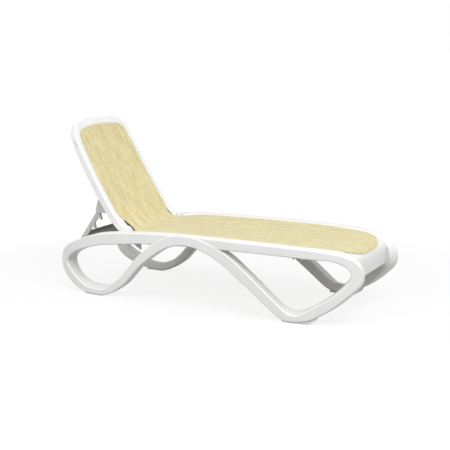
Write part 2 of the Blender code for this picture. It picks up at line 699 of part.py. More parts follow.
def make_backrest_frame():
    """Two stiles and a crowned top bar in one sweep, with a boss at each hinge."""
    pts, inward = back_line()
    section = eight_corners(STILE_FACE / 2, STILE_DEPTH / 2, FRAME_EDGE)
    rings = []
    for (along, across), (in_along, in_across) in zip(pts, inward):
        ring = []
        for q, front in section:
            x, z = back_point(along + q * in_along, front)
            ring.append((x, across + q * in_across, z))
        rings.append(ring)
    frame = loft("backrest_frame", rings, WHITE_RESIN, BACK_AXIS)
    for side in (-1, 1):
        inner = side * (BACK_HALF_WIDTH - HINGE_BOSS_WIDTH)
        outer = side * BACK_HALF_WIDTH
        edge = FRAME_EDGE / 2
        steps = [
            (inner, HINGE_BOSS_RADIUS - edge), (inner + side * edge, HINGE_BOSS_RADIUS),
            (outer - side * edge, HINGE_BOSS_RADIUS), (outer, HINGE_BOSS_RADIUS - edge),
        ]
        boss = rod("boss", HINGE_X, HINGE_Z, steps, WHITE_RESIN, sides=28)
        combine(frame, boss, "UNION")
        past = side * (BACK_HALF_WIDTH + PIN_RADIUS)
        back = side * (BACK_HALF_WIDTH - HINGE_BOSS_WIDTH - PIN_RADIUS)
        bore = rod("bore", HINGE_X, HINGE_Z, [(back, PIN_BORE), (past, PIN_BORE)], WHITE_RESIN)
        combine(frame, bore, "DIFFERENCE")
        cut_slot(frame, side)
    return frame


make_backrest_frame()


# Backrest sling inside the frame, with its welt
BACK_SLING_RECESS = 0.0015
BACK_SLING_SAG = 0.006
SLING_FRONT = STILE_DEPTH / 2 - BACK_SLING_RECESS


def make_back_border():
    """The welt lies in the frame's inner corner, round the sling."""
    pts, inward = back_line()
    pts = (pts + inward * (STILE_FACE / 2 + GAP + BORDER_WIDTH / 2))[1:-1]
    inward = inward[1:-1]
    half = BORDER_WIDTH / 2
    deep = BORDER_WIDTH
    section = [(-half, -deep), (half, -deep), (half, 0.0), (0.0, BORDER_PROUD), (-half, 0.0)]
    rings = []
    for (along, across), (in_along, in_across) in zip(pts, inward):
        ring = []
        for q, front in section:
            x, z = back_point(along + q * in_along, SLING_FRONT + front)
            ring.append((x, across + q * in_across, z))
        rings.append(ring)
    return loft("back_border", rings, BORDER_RESIN, BACK_AXIS)


make_back_border()


def make_sling_back():
    pts, inward = back_line()
    line = (pts + inward * (STILE_FACE / 2 + 2 * GAP + BORDER_WIDTH))[1:-1]
    right = line[line[:, 1] < -BORDER_WIDTH]
    top = right[-1, 0]
    places = list(right[:, 0])
    places[-1] -= GAP
    stations = []
    for along in places:
        half = -float(np.interp(along, right[:, 0], right[:, 1]))
        ends = 1 - (2 * (along - BACK_SLING_START) / (top - BACK_SLING_START) - 1) ** 4

        def place(share, half, below, along=along, ends=ends):
            sag = BACK_SLING_SAG * ends * (1 - share ** 2)
            x, z = back_point(along, SLING_FRONT - sag - below)
            return x, share * half, z

        stations.append((half, place))
    return sling_sheet("sling_back", stations, 9, SLING_FABRIC, BACK_AXIS)


make_sling_back()


# The same cloth where it turns up from the seat into the back, and narrows
HIP_PULL_SHARE = 0.34       # how far each end keeps its direction, of the hip's length


def make_sling_hip():
    wide = seat_half_width(SEAT_REAR)
    narrow = BACK_HALF_WIDTH - STILE_FACE - BORDER_WIDTH - 2 * GAP
    low = np.array([SEAT_REAR - GAP, seat_height(SEAT_REAR)])
    before = np.array([SEAT_REAR + RIBBON_DEPTH, seat_height(SEAT_REAR + RIBBON_DEPTH)])
    high = np.array(back_point(BACK_SLING_START - GAP, SLING_FRONT))
    beyond = np.array(back_point(BACK_SLING_START + RIBBON_DEPTH, SLING_FRONT))
    pull = np.linalg.norm(high - low) * HIP_PULL_SHARE
    leave = low + (low - before) / np.linalg.norm(low - before) * pull
    meet = high + (high - beyond) / np.linalg.norm(high - beyond) * pull
    stations = []
    for t in np.linspace(0, 1, 9):
        back = 1 - t
        spot = back ** 3 * low + 3 * back ** 2 * t * leave + 3 * back * t ** 2 * meet + t ** 3 * high
        slope = back ** 2 * (leave - low) + 2 * back * t * (meet - leave) + t ** 2 * (high - meet)
        slope = slope / np.linalg.norm(slope)
        under = np.array([-abs(slope[1]), -abs(slope[0])])

        def place(share, half, below, spot=spot, under=under):
            x, z = spot + under * below
            return float(x), share * half, float(z)

        stations.append((narrow + (wide - narrow) * back ** 2, place))
    return sling_sheet("sling_hip", stations, 5, SLING_FABRIC)


make_sling_hip()


# Crossbars behind the backrest sling
BACK_BAR_WIDE = 0.040
BACK_BAR_DEEP = 0.020
BACK_BAR_BEHIND = 0.020     # behind the sling
BACK_BAR_PLACES = {"lower": 0.150, "middle": 0.420}


def make_back_crossbar(name, along):
    middle = SLING_FRONT - BACK_BAR_BEHIND - BACK_BAR_DEEP / 2
    section = eight_corners(BACK_BAR_WIDE / 2, BACK_BAR_DEEP / 2, BACK_BAR_DEEP / 4)
    rings = []
    for side in (-1, 1):
        ring = []
        for q, front in section:
            x, z = back_point(along + q, middle + front)
            ring.append((x, side * (back_half_width(along + q) - STILE_FACE - GAP), z))
        rings.append(ring)
    return loft(name, rings, WHITE_RESIN, BACK_AXIS)


for label, place in BACK_BAR_PLACES.items():
    make_back_crossbar("back_crossbar_" + label, place)


# Prop: two toothed arms and a tie swing under the backrest
PROP_PIN_RADIUS = 0.006
PROP_PIN_HEAD = 0.010
PROP_BOSS_RADIUS = 0.018
ARM_LENGTH = 0.258
ARM_BACK = 0.013            # the arm's back edge, behind the line through its pin
ARM_FRONT = 0.012
NOTCH_SHARES = [(0.2016, 0.5375), (0.4787, 0.3375), (0.9109, 0.50)]   # of ARM_LENGTH, TOOTH_REACH
NOTCH_RADIUS = 0.0085
TOOTH_REACH = 0.040         # tips of the teeth, in front of the line through the pin
TOOTH_RUN = 0.036
NOTCHES = [(along * ARM_LENGTH, front * TOOTH_REACH) for along, front in NOTCH_SHARES]
PROP_INNER = PROP_ARM_OUTER - PROP_ARM_THICKNESS
ALONG_ARM = np.array([math.cos(PROP_ANGLE), math.sin(PROP_ANGLE)])
FRONT_OF_ARM = np.array([-math.sin(PROP_ANGLE), math.cos(PROP_ANGLE)])


def arm_point(along, front):
    spot = np.array([PROP_X, PROP_Z]) + along * ALONG_ARM + front * FRONT_OF_ARM
    return float(spot[0]), float(spot[1])


def arm_outline():
    """Round the pin boss, down the toothed front edge, round the tip and back up."""
    edge = []
    for i in range(8):
        turn = math.radians(-50 - 260 * i / 7)
        edge.append((PROP_BOSS_RADIUS * math.cos(turn), PROP_BOSS_RADIUS * math.sin(turn)))
    for along, front in NOTCHES:
        edge.append((along - TOOTH_RUN, ARM_FRONT))
        edge.append((along - NOTCH_RADIUS * 1.4, TOOTH_REACH))
        edge.append((along - NOTCH_RADIUS, TOOTH_REACH - NOTCH_RADIUS / 2))
        for i in range(5):
            turn = math.radians(180 + 135 * i / 4)
            x = along + NOTCH_RADIUS * math.cos(turn)
            edge.append((x, front + NOTCH_RADIUS * math.sin(turn)))
        if along < ARM_LENGTH - TOOTH_RUN:
            edge.append((along + NOTCH_RADIUS * 1.9, ARM_FRONT))
    edge.append((ARM_LENGTH - ARM_BACK / 3, ARM_FRONT))
    edge.append((ARM_LENGTH, ARM_FRONT / 3))
    edge.append((ARM_LENGTH, -ARM_BACK / 3))
    edge.append((ARM_LENGTH - ARM_BACK, -ARM_BACK))
    edge.append((PROP_BOSS_RADIUS * 1.4, -ARM_BACK))
    return [arm_point(along, front) for along, front in edge]


def make_prop_arm(name, side):
    outer = side * PROP_ARM_OUTER
    inner = side * PROP_INNER
    arm = plate(name, arm_outline(), inner, outer, GREY_RESIN, PROP_AXIS)
    past = side * PROP_PIN_RADIUS
    bore_radius = PROP_PIN_RADIUS + GAP
    steps = [(inner - past, bore_radius), (outer + past, bore_radius)]
    return combine(arm, rod("bore", PROP_X, PROP_Z, steps, GREY_RESIN), "DIFFERENCE")


for label, side in SIDES.items():
    make_prop_arm("prop_arm_" + label, side)


TIE_ALONG = 0.176
TIE_LENGTHWISE = 0.024
TIE_THICKNESS = 0.012


def make_prop_tie():
    section = eight_corners(TIE_LENGTHWISE / 2, TIE_THICKNESS / 2, TIE_THICKNESS / 4)
    outline = [arm_point(TIE_ALONG + along, front) for along, front in section]
    reach = PROP_INNER - GAP
    return plate("prop_tie", outline, -reach, reach, DARK_RESIN, PROP_AXIS)


make_prop_tie()


# Brackets on the stiles' backs that carry the prop's pins
BRACKET_THICKNESS = 0.018
BRACKET_LOW = 0.163         # along the back
BRACKET_HIGH = 0.265
BRACKET_SHOULDER = 0.245
BRACKET_REACH = 0.100       # behind the back's chord


def make_prop_bracket(name, side):
    outline = []
    for share in (0.0, 0.33, 0.67, 1.0):
        along = BRACKET_LOW + share * (BRACKET_HIGH - BRACKET_LOW)
        outline.append(back_point(along, -STILE_DEPTH / 2 - GAP))
    outline.append(back_place(BRACKET_SHOULDER, BRACKET_REACH))
    start = math.atan2(UP_BACK[1], UP_BACK[0])
    for i in range(7):
        turn = start + math.radians(10 + 170 * i / 6)
        outline.append((
            PROP_X + PROP_BOSS_RADIUS * math.cos(turn),
            PROP_Z + PROP_BOSS_RADIUS * math.sin(turn),
        ))
    outline.append(back_place(BRACKET_LOW, BRACKET_REACH - PROP_BOSS_RADIUS))
    inner = side * (PROP_ARM_OUTER + GAP)
    outer = side * (PROP_ARM_OUTER + GAP + BRACKET_THICKNESS)
    bracket = plate(name, outline, inner, outer, GREY_RESIN, BACK_AXIS)
    past = side * PROP_PIN_RADIUS
    bore_radius = PROP_PIN_RADIUS + GAP
    steps = [(inner - past, bore_radius), (outer + past, bore_radius)]
    return combine(bracket, rod("bore", PROP_X, PROP_Z, steps, GREY_RESIN), "DIFFERENCE")


def make_pivot_pin(name, side):
    head = PROP_INNER - GAP
    tip = PROP_ARM_OUTER + GAP + BRACKET_THICKNESS
    steps = [
        (head - PROP_PIN_RADIUS / 2, PROP_PIN_HEAD), (head, PROP_PIN_HEAD),
        (head, PROP_PIN_RADIUS), (tip, PROP_PIN_RADIUS),
    ]
    return rod(name, PROP_X, PROP_Z, [(side * y, r) for y, r in steps], PIN_STEEL, PROP_AXIS)


for label, side in SIDES.items():
    make_prop_bracket("prop_bracket_" + label, side)
    make_pivot_pin("prop_pivot_pin_" + label, side)


# Pegs in the side frames on which the lowest notch rests. They stop just
# short of the arms, so that the arms can lift past them.
PEG_CLEARANCE = 0.0006


def make_prop_peg(name, side):
    x, z = arm_point(*NOTCHES[-1])
    root = inner_half_width(x) + PEG_IN_FRAME
    tip = PROP_ARM_OUTER + PEG_CLEARANCE
    frame = bpy.data.objects["side_frame_" + name.rsplit("_", 1)[1]]
    seat = [(side * (root + GAP), PEG_RADIUS + GAP), (side * tip, PEG_RADIUS + GAP)]
    combine(frame, rod("bore", x, z, seat, WHITE_RESIN), "DIFFERENCE")
    steps = [
        (root, PEG_RADIUS), (tip + PEG_RADIUS / 4, PEG_RADIUS), (tip, PEG_RADIUS * 0.75),
    ]
    return rod(name, x, z, [(side * y, r) for y, r in steps], GREY_RESIN)


for label, side in SIDES.items():
    make_prop_peg("prop_peg_" + label, side)
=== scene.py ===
"""Resin sun lounger with a stretched sling, dressed for the render around its fixed frame.

Metres, +Z up, feet toward +X. Places repeat the frame's own values, so that every
piece here lies where the solid that it stands for lies.
"""
import json
import math

import bmesh
import bpy
import numpy as np
from mathutils import Matrix, Vector

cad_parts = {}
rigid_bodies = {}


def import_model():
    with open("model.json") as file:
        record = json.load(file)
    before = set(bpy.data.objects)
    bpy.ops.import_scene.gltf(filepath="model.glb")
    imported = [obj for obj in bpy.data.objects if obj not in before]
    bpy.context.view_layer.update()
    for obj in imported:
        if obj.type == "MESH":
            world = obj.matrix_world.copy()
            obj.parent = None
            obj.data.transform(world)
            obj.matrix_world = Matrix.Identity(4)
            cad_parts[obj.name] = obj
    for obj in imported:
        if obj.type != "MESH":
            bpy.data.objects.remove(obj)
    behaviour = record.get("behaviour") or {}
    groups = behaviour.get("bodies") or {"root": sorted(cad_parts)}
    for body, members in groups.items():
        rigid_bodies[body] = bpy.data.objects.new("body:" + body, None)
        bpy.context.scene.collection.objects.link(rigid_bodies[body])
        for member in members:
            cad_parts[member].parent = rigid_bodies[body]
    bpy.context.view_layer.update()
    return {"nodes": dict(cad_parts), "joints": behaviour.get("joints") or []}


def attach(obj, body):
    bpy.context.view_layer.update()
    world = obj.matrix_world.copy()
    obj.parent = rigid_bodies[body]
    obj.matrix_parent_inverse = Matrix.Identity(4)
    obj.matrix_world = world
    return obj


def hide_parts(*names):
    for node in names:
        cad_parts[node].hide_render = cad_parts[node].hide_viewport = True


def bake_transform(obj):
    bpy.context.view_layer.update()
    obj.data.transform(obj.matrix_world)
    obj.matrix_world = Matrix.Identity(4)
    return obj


for old in list(bpy.data.objects):
    bpy.data.objects.remove(old, do_unlink=True)

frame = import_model()
NODES = frame["nodes"]
RECLINE = next(j for j in frame["joints"] if j["name"] == "backrest_recline")
SIDES = {"left": 1, "right": -1}

# Side frame sizes
HALF_RUN = 0.933            # half the side frame's length, measured along its bend
WIDTH = 0.715               # across the outer faces of the side frames
RAIL_TOP = 0.390            # top of the rails at mid length
RIBBON_WIDTH = 0.062        # the ribbon's face
RIBBON_DEPTH = 0.070        # the ribbon's depth across the lounger
OUTER_EDGE = 0.0050         # bevel along the ribbon's outer edges
INNER_EDGE = 0.0092         # and along its inner ones
NOSE_EDGE = 0.0130          # the bevel's width round the front loop's outside
NOSE_EDGE_FROM = 0.70       # where it starts to grow, as a share of HALF_RUN
NOSE_EDGE_TO = 0.90         # and where it is full
BEVEL_ROUND = 0.0028        # rounding where a bevel meets its faces
HUMP_STEP = 0.004           # the arch stands this proud of the rail it crosses
HUMP_RELIEF = 0.003         # and is this much shallower inside
SEAM_INSET = 0.0004         # the arch is this much smaller where it runs with the loop
FRONT_BEND_START = 0.493    # the frames are straight in plan up to here, then bend inward
FRONT_BEND_RADIUS = 1.05    # radius of their outer face
REAR_BEND_START = 0.647
REAR_BEND_RADIUS = 0.55
HUMP_CENTRE_SHARE = -0.07   # where the arch crosses the rail, as a share of HALF_RUN
HUMP_REACH_SHARE = 0.24     # and how far to each side the two run together
FOOT_LIFT_SHARE = 0.45      # a foot's inner edge is up this share of RIBBON_WIDTH
LOOP_STEPS = 230            # points along the paths below, once they are smooth
ARCH_STEPS = 150
SEAT_LINE_STEPS = 200
BACK_LINE_STEPS = 120

# Backrest sizes
HINGE = Vector(RECLINE["pos_m"])
RECLINE_AT_REST = math.radians(57)
BACK_LENGTH = 0.698         # from the hinge to the top bar's middle
BACK_HALF_WIDTH = 0.280
STILE_FACE = 0.046          # the stile's width across the lounger
STILE_DEPTH = 0.045         # and its depth from front to back
BACK_CORNER_RADIUS = 0.095
BACK_CROWN = 0.028          # the top bar's rise from its corners to its middle
BACK_SLING_START = 0.118    # the cloth meets the stiles this far up from the hinge
SLING_FRONT = STILE_DEPTH / 2 - 0.0015   # and lies this far before their middle line
FRAME_EDGE = 0.0060         # bevel along the frame's free edges
FRAME_LIP = 0.0014          # bevel beside the cloth
TAPER_STEPS = 60            # the taper's corners are eased by a running mean
TAPER_WINDOW = 9
REBATE = 0.010              # the stiles are cut back this far for the cloth's edge to lie in
LEDGE_OUT = 0.004           # and the ledge that it lies on reaches this far beyond their sides
LOW_SWELL = 0.014           # the stiles bow this much further back near the hinge
LOW_SWELL_FROM = 0.040      # in full up to here along the back
LOW_SWELL_TO = 0.360        # and not at all from here
SLOT_SHARE = 0.825          # middle of the stacking slot in each stile, along the back
SLOT_LENGTH = 0.030
SLOT_WIDTH = 0.009
SLOT_DEPTH = 0.005
SLOT_BEHIND = 0.004         # behind the stile's middle line
SLOT_SIDES = 24
BOSS_RADIUS = 0.035
BOSS_WIDTH = 0.034
BOSS_EDGE = 0.006           # rounding of its rims
BOSS_EDGE_STEPS = 5
BOSS_BACK = 0.014           # from the hinge's axis back to the boss's middle
BOSS_PROUD = 0.0045         # past the stile's outer face, towards the side frame
UP_BACK = np.array([-math.cos(RECLINE_AT_REST), math.sin(RECLINE_AT_REST)])     # (x, z)
OUT_FRONT = np.array([math.sin(RECLINE_AT_REST), math.cos(RECLINE_AT_REST)])

# Sling sizes
SEAT_REAR = -0.412
SEAT_FRONT = 0.8500
NOSE_REAR = 0.655           # the nose cowl starts here
NOSE_ROUND_START = 0.6622   # the cloth's front corners start to round here
NOSE_SQUARENESS = 3.5       # power of the curve that rounds them
HIP_TAPER = 0.085           # the seat's cloth narrows over this length before the hip
HIP_PULL_SHARE = 0.34       # how stiffly the cloth leaves seat and back at the hip
HIP_LEAD = 0.070            # its direction there is taken over this length
HIP_TUCK = 0.036            # the cloth pulls in this much at each side of the hip
HIP_STEPS = 34              # rows of the cloth's parts
SEAT_STEPS = 130
NOSE_STEPS = 40
BACK_STEPS = 90
TOP_STEPS = 16
TOP_ROUND = 0.050           # the rows draw closer over this length below the top bar
CLOTH_COLUMNS = 49
CLOTH = 0.0012              # thickness of the woven cloth
SEAT_SAG = 0.009
BACK_SAG = 0.006
WELT = 0.0034               # width of the edge strip round the cloth
WELT_RISE = 0.0013          # and half its height
GAP = 0.0003                # between the strip and what is beside it
LEDGE = 0.026               # the cloth lies flat on its support over this width
YARN_PITCH = 0.0021         # from one yarn of the cloth to the next

# Nose cowl sizes
COWL_WALL = 0.006
COWL_LIP = 0.010            # the lower edge turns back under by this much
COWL_UNDER = 0.0033         # the cowl's skin lies this far under the seat line
COWL_CLEARANCE = 0.0009     # between its ends and the side frames
COWL_STEPS = 33

# The tie's lower leaf: a thin plate under the bar between the two prop arms, a guessed form
# whose grey is painted shade for the shaded place under the bar
TIE_HALF_LENGTH = 0.2160
TIE_LEAF = (-0.7905, -0.7855, 0.2640, 0.3074)   # back, front, low, high

# Path of the loops and rail from rear foot to front foot, as in the frame: place as
# a share of HALF_RUN, height as one of RAIL_TOP and width as one of RIBBON_WIDTH
LOOP_SHARES = [
    (-0.629, 0.054, 0.55), (-0.672, 0.053, 0.55), (-0.718, 0.058, 0.58),
    (-0.768, 0.077, 0.65), (-0.821, 0.129, 0.81), (-0.876, 0.194, 0.94),
    (-0.922, 0.267, 1.03), (-0.952, 0.344, 1.10), (-0.964, 0.426, 1.13),
    (-0.952, 0.503, 1.10), (-0.921, 0.576, 1.02), (-0.876, 0.641, 0.97),
    (-0.822, 0.697, 0.95), (-0.766, 0.746, 0.97), (-0.704, 0.792, 1.02),
    (-0.629, 0.832, 1.03), (-0.504, 0.867, 1.05), (-0.350, 0.903, 0.97),
    (-0.136, 0.923, 0.94), (0.132, 0.932, 0.87), (0.400, 0.933, 0.81),
    (0.593, 0.929, 0.80), (0.721, 0.920, 0.79), (0.808, 0.911, 0.73),
    (0.872, 0.884, 0.86), (0.920, 0.833, 0.97), (0.951, 0.757, 1.07),
    (0.959, 0.673, 1.12), (0.953, 0.589, 1.10), (0.923, 0.503, 1.00),
    (0.876, 0.397, 0.94), (0.821, 0.296, 0.92), (0.742, 0.180, 0.90),
    (0.686, 0.106, 0.77), (0.646, 0.073, 0.61), (0.609, 0.062, 0.58),
    (0.568, 0.072, 0.71),
]
ARCH_SHARES = [
    (0.614, 0.062, 0.58), (0.568, 0.072, 0.71), (0.523, 0.132, 0.87),
    (0.468, 0.235, 0.90), (0.411, 0.344, 0.92), (0.350, 0.460, 0.97),
    (0.284, 0.578, 1.03), (0.226, 0.685, 1.03), (0.166, 0.774, 1.00),
    (0.100, 0.850, 0.97), (0.018, 0.915, 0.92), (-0.068, 0.933, 0.89),
    (-0.139, 0.914, 0.92), (-0.218, 0.843, 0.94), (-0.297, 0.718, 0.89),
    (-0.373, 0.572, 0.81), (-0.416, 0.459, 0.77), (-0.481, 0.286, 0.77),
    (-0.516, 0.213, 0.74), (-0.553, 0.151, 0.71), (-0.591, 0.095, 0.65),
    (-0.625, 0.063, 0.56), (-0.672, 0.053, 0.55),
]
SEAT_SHARES = [             # (place as a share of HALF_RUN, height as a share of RAIL_TOP)
    (-0.442, 0.938), (-0.383, 0.959), (-0.297, 0.974), (-0.136, 0.987),
    (0.078, 0.991), (0.346, 0.990), (0.507, 0.984), (0.614, 0.976), (0.713, 0.965),
    (0.764, 0.958), (0.811, 0.949), (0.852, 0.932), (0.880, 0.907), (0.900, 0.878),
    (0.914, 0.845), (0.921, 0.800), (0.9225, 0.730), (0.9215, 0.640), (0.919, 0.572),
]
BACK_BOW_SHARES = [         # (along the back, behind its chord), shares of BACK_LENGTH
    (0.0, 0.0), (0.11, -0.030), (0.225, -0.047), (0.43, -0.057), (0.593, -0.053),
    (0.741, -0.044), (0.872, -0.032), (1.0, -0.014),
]
BACK_TAPER_SHARES = [       # (along the back, half width), of BACK_LENGTH and BACK_HALF_WIDTH
    (0.0, 1.0), (0.47, 1.0), (0.73, 0.98), (0.87, 0.95), (1.0, 0.915),
]


# Materials
class Nodes:
    """A short way to write a material's node tree."""

    def __init__(self, name, roughness, metallic=0.0):
        self.material = bpy.data.materials.new(name)
        self.material.use_nodes = True
        self.tree = self.material.node_tree
        self.shader = self.tree.nodes["Principled BSDF"]
        self.shader.inputs["Roughness"].default_value = roughness
        self.shader.inputs["Metallic"].default_value = metallic

    def add(self, kind, **settings):
        node = self.tree.nodes.new(kind)
        for key, value in settings.items():
            setattr(node, key, value)
        return node

    def join(self, source, target):
        self.tree.links.new(source, target)

    def math(self, operation, a, b=None):
        node = self.add("ShaderNodeMath", operation=operation)
        for socket, value in zip(node.inputs, (a, b)):
            if value is None:
                continue
            if isinstance(value, (int, float)):
                socket.default_value = value
            else:
                self.join(value, socket)
        return node.outputs[0]

    def noise(self, vector, scale, detail=2.0, roughness=0.5):
        node = self.add("ShaderNodeTexNoise")
        node.inputs["Scale"].default_value = scale
        node.inputs["Detail"].default_value = detail
        node.inputs["Roughness"].default_value = roughness
        self.join(vector, node.inputs["Vector"])
        return node.outputs["Fac"]

    def ramp(self, factor, stops):
        node = self.add("ShaderNodeValToRGB")
        steps = node.color_ramp.elements
        while len(steps) < len(stops):
            steps.new(0.5)
        for step, (place, colour) in zip(steps, stops):
            step.position = place
            step.color = (*colour, 1.0)
        self.join(factor, node.inputs["Fac"])
        return node.outputs["Color"]

    def colour(self, output):
        self.join(output, self.shader.inputs["Base Color"])

    def rough(self, factor, low, high):
        node = self.add("ShaderNodeMapRange")
        node.inputs["To Min"].default_value = low
        node.inputs["To Max"].default_value = high
        self.join(factor, node.inputs["Value"])
        self.join(node.outputs["Result"], self.shader.inputs["Roughness"])

    def bump(self, height, distance, strength=1.0):
        node = self.add("ShaderNodeBump")
        node.inputs["Distance"].default_value = distance
        node.inputs["Strength"].default_value = strength
        self.join(height, node.inputs["Height"])
        self.join(node.outputs["Normal"], self.shader.inputs["Normal"])

    def place(self):
        """Where a point is on the piece, in metres."""
        return self.add("ShaderNodeTexCoord").outputs["Object"]


def resin(name, light, dark, roughness, grain=520.0):
    """Moulded resin: slow flow marks in its tone and a fine satin grain."""
    n = Nodes(name, roughness)
    spot = n.place()
    flow = n.noise(spot, 5.0, 3.0, 0.55)
    n.colour(n.ramp(flow, [(0.25, dark), (0.75, light)]))
    fine = n.noise(spot, grain, 3.0, 0.6)
    n.rough(fine, roughness - 0.06, roughness + 0.10)
    n.bump(fine, 0.00012, 0.35)
    return n.material


WHITE = resin("white_resin", (0.85, 0.85, 0.845), (0.825, 0.825, 0.82), 0.42)
GREY = resin("grey_resin", (0.56, 0.57, 0.56), (0.51, 0.52, 0.51), 0.48)
DARK = resin("dark_resin", (0.15, 0.148, 0.142), (0.12, 0.118, 0.112), 0.5)
# painted shade: the leaf's mid grey stands in for the shade under the tie bar
LEAF_PAINTED_SHADE = resin("leaf_painted_shade", (0.46, 0.455, 0.44), (0.41, 0.405, 0.392), 0.5)


def rubber():
    n = Nodes("pad_rubber", 0.8)
    spot = n.place()
    wear = n.noise(spot, 40.0, 4.0, 0.6)
    n.colour(n.ramp(wear, [(0.3, (0.74, 0.76, 0.75)), (0.7, (0.81, 0.83, 0.82))]))
    n.bump(n.noise(spot, 700.0, 2.0), 0.0002, 0.5)
    return n.material


RUBBER = rubber()


def woven():
    """Coated yarns that pass over and under each other, some paler than others."""
    n = Nodes("sling_fabric", 0.62)
    n.shader.inputs["Sheen Weight"].default_value = 0.16
    n.shader.inputs["Sheen Roughness"].default_value = 0.5
    flat = n.add("ShaderNodeUVMap", uv_map="flat").outputs["UV"]
    parts = n.add("ShaderNodeSeparateXYZ")
    n.join(flat, parts.inputs[0])
    across = n.math("DIVIDE", parts.outputs["X"], YARN_PITCH)
    along = n.math("DIVIDE", parts.outputs["Y"], YARN_PITCH)
    warp = n.math("ABSOLUTE", n.math("SINE", n.math("MULTIPLY", across, math.pi)))
    weft = n.math("ABSOLUTE", n.math("SINE", n.math("MULTIPLY", along, math.pi)))
    cell = n.math("ADD", n.math("FLOOR", across), n.math("FLOOR", along))
    over = n.math("MODULO", n.math("ABSOLUTE", cell), 2.0)

    def pick(first, second):
        mix = n.add("ShaderNodeMix")
        n.join(over, mix.inputs["Factor"])
        n.join(first, mix.inputs[2])
        n.join(second, mix.inputs[3])
        return mix.outputs[0]

    def slub(stretch, detail=3.0):
        """Uneven yarns: a noise with its own count per metre across and along."""
        mapping = n.add("ShaderNodeMapping")
        mapping.inputs["Scale"].default_value = stretch
        n.join(flat, mapping.inputs["Vector"])
        return n.noise(mapping.outputs["Vector"], 1.0, detail, 0.62)

    height = pick(warp, weft)
    yarns = pick(slub((430.0, 22.0, 1.0)), slub((26.0, 430.0, 1.0)))
    streaks = slub((190.0, 16.0, 1.0), 4.0)
    dashes = slub((60.0, 170.0, 1.0), 4.0)
    blotch = slub((95.0, 95.0, 1.0), 4.0)
    bands = slub((34.0, 6.0, 1.0), 2.0)
    shares = ((streaks, 0.25), (dashes, 0.20), (blotch, 0.20), (bands, 0.24), (height, 0.11))
    tone = n.math("MULTIPLY", yarns, 0.27)
    for part, share in shares:
        tone = n.math("ADD", tone, n.math("MULTIPLY", part, share))
    n.colour(n.ramp(tone, [
        (0.50, (0.45, 0.366, 0.138)), (0.59, (0.625, 0.538, 0.252)),
        (0.655, (0.72, 0.636, 0.335)), (0.76, (0.86, 0.798, 0.51)),
    ]))
    n.rough(height, 0.72, 0.56)
    n.bump(n.math("ADD", height, n.math("MULTIPLY", streaks, 0.6)), 0.0004, 0.8)
    return n.material


FABRIC = woven()
BORDER = resin("border_resin", (0.74, 0.68, 0.44), (0.67, 0.60, 0.36), 0.5, 800.0)


def steel():
    n = Nodes("pin_steel", 0.32, 1.0)
    marks = n.noise(n.place(), 900.0, 2.0)
    n.colour(n.ramp(marks, [(0.3, (0.50, 0.51, 0.52)), (0.7, (0.60, 0.61, 0.62))]))
    n.rough(marks, 0.26, 0.42)
    return n.material


STEEL = steel()


# Shape helpers
def make_object(name, verts, faces, material, smooth=40):
    mesh = bpy.data.meshes.new(name)
    mesh.from_pydata([tuple(map(float, v)) for v in verts], [], faces)
    tidy = bmesh.new()
    tidy.from_mesh(mesh)
    bmesh.ops.recalc_face_normals(tidy, faces=tidy.faces)
    tidy.to_mesh(mesh)
    tidy.free()
    obj = bpy.data.objects.new(name, mesh)
    bpy.context.scene.collection.objects.link(obj)
    mesh.materials.append(material)
    mesh.shade_smooth()
    mesh.set_sharp_from_angle(angle=math.radians(smooth))
    return obj


def flat_faces(obj):
    """Large faces keep their own shading beside small rounded ones."""
    even = obj.modifiers.new("flat_faces", "WEIGHTED_NORMAL")
    even.weight = 60
    even.keep_sharp = True


def loft(name, rings, material, closed=False, smooth=40):
    """A body through rings of equal count, with flat ends or joined end to start."""
    count = len(rings[0])
    verts = [point for ring in rings for point in ring]
    faces = []
    last = len(rings) if closed else len(rings) - 1
    for i in range(last):
        for j in range(count):
            k = (j + 1) % count
            a = i * count
            b = (i + 1) % len(rings) * count
            faces.append((a + j, a + k, b + k, b + j))
    if not closed:
        faces.append(tuple(range(count)))
        faces.append(tuple((len(rings) - 1) * count + j for j in range(count)))
    body = make_object(name, verts, faces, material, smooth)
    flat_faces(body)
    return body


def smooth_path(points, count):
    """Evenly spaced points on a smooth curve through the given ones."""
    pts = np.array(points, float)
    padded = np.vstack([2 * pts[0] - pts[1], pts, 2 * pts[-1] - pts[-2]])
    fine = []
    for i in range(1, len(padded) - 2):
        p0, p1, p2, p3 = padded[i - 1:i + 3]
        for t in np.linspace(0, 1, 16, endpoint=False):
            bend = 2 * p0 - 5 * p1 + 4 * p2 - p3
            twist = -p0 + 3 * p1 - 3 * p2 + p3
            fine.append(0.5 * (2 * p1 + (p2 - p0) * t + bend * t ** 2 + twist * t ** 3))
    fine.append(pts[-1])
    fine = np.array(fine)
    steps = np.linalg.norm(np.diff(fine[:, :2], axis=0), axis=1)
    run = np.concatenate([[0], np.cumsum(steps)])
    wanted = np.linspace(0, run[-1], count)
    return np.stack([np.interp(wanted, run, fine[:, k]) for k in range(fine.shape[1])], 1)


def tangents(path):
    """Unit directions along a path's first two columns."""
    direction = np.gradient(path[:, :2], axis=0)
    return direction / np.linalg.norm(direction, axis=1)[:, None]


def corner_points(leg, soft):
    """Corner offsets (along one side, along the next) of a bevel with softened ends."""
    reach = leg + soft * math.tan(math.pi / 8)
    arc = []
    for i in range(3):
        turn = math.pi / 8 * i
        arc.append((reach - soft * math.sin(turn), soft * (1 - math.cos(turn))))
    return arc + [(y, x) for x, y in arc[::-1]]


def bevelled_section(low, high, near, far, legs):
    """A rectangle's outline in (across, depth), its corners bevelled by four legs."""
    low_near, high_near, high_far, low_far = [corner_points(leg, BEVEL_ROUND) for leg in legs]
    outline = [(low + x, near + y) for x, y in low_near[::-1]]
    outline += [(high - x, near + y) for x, y in high_near]
    outline += [(high - x, far - y) for x, y in high_far[::-1]]
    outline += [(low + x, far - y) for x, y in low_far]
    return outline


